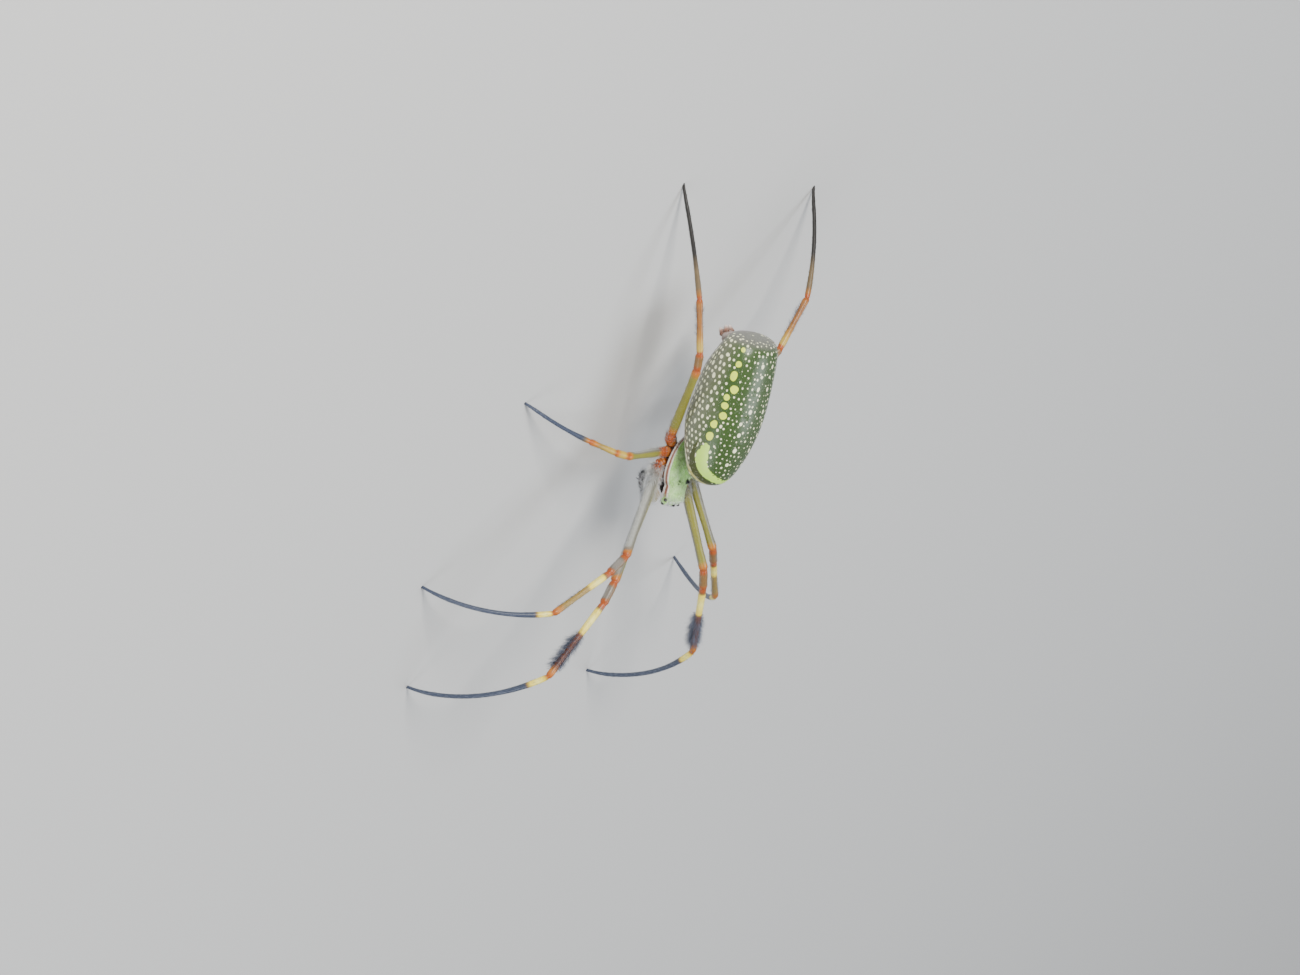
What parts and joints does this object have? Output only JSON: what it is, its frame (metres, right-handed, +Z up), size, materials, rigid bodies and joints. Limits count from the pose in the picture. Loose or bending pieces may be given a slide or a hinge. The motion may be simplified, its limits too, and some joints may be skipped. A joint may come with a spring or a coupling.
{
  "type": "golden silk orb weaver",
  "caption": "Still, life-size model of a female golden silk orb weaver spider, standing on long thin spread legs, with a long green abdomen dotted white.",
  "frame": {"origin": "middle of the model's box at floor level", "axes": "+Z up, the head towards -Y, the spider's left side towards +X"},
  "size_m": [0.0586, 0.0718, 0.0166],
  "materials": {
    "carapace": "horny shell under flat silver-green hair",
    "underside": "dull brown-black shell",
    "jaw": "smooth purple-black shell, satin",
    "palp": "ochre skin with white and black hair",
    "eye": "clear glossy black lens",
    "abdomen": "soft green skin dotted white, satin",
    "spinneret": "pinkish-white skin",
    "hip": "orange-red skin with white down",
    "femur": "olive-yellow shell, satin",
    "tibia": "orange-brown shell with a yellow band and dark brushes",
    "foot": "slate-black shell, satin"
  },
  "bodies": {
    "root": {"coxa_right_1": "hip", "femur_right_1": "femur", "tibia_right_1": "tibia", "metatarsus_right_1": "foot", "coxa_right_2": "hip", "femur_right_2": "femur", "tibia_right_2": "tibia", "metatarsus_right_2": "foot", "coxa_right_3": "hip", "femur_right_3": "femur", "tibia_right_3": "tibia", "metatarsus_right_3": "foot", "coxa_right_4": "hip", "femur_right_4": "femur", "tibia_right_4": "tibia", "metatarsus_right_4": "foot", "coxa_left_1": "hip", "femur_left_1": "femur", "tibia_left_1": "tibia", "metatarsus_left_1": "foot", "coxa_left_2": "hip", "femur_left_2": "femur", "tibia_left_2": "tibia", "metatarsus_left_2": "foot", "coxa_left_3": "hip", "femur_left_3": "femur", "tibia_left_3": "tibia", "metatarsus_left_3": "foot", "coxa_left_4": "hip", "femur_left_4": "femur", "tibia_left_4": "tibia", "metatarsus_left_4": "foot", "carapace": "carapace", "sternum": "underside", "labium": "underside", "maxilla_right": "underside", "chelicera_right": "jaw", "fang_right": "jaw", "palp_right": "palp", "maxilla_left": "underside", "chelicera_left": "jaw", "fang_left": "jaw", "palp_left": "palp", "eye_front_median_right": "eye", "eye_front_median_left": "eye", "eye_back_median_right": "eye", "eye_back_median_left": "eye", "eye_front_lateral_right": "eye", "eye_front_lateral_left": "eye", "eye_back_lateral_right": "eye", "eye_back_lateral_left": "eye", "abdomen": "abdomen", "pedicel": "palp", "spinnerets": "spinneret"}
  },
  "joints": []
}
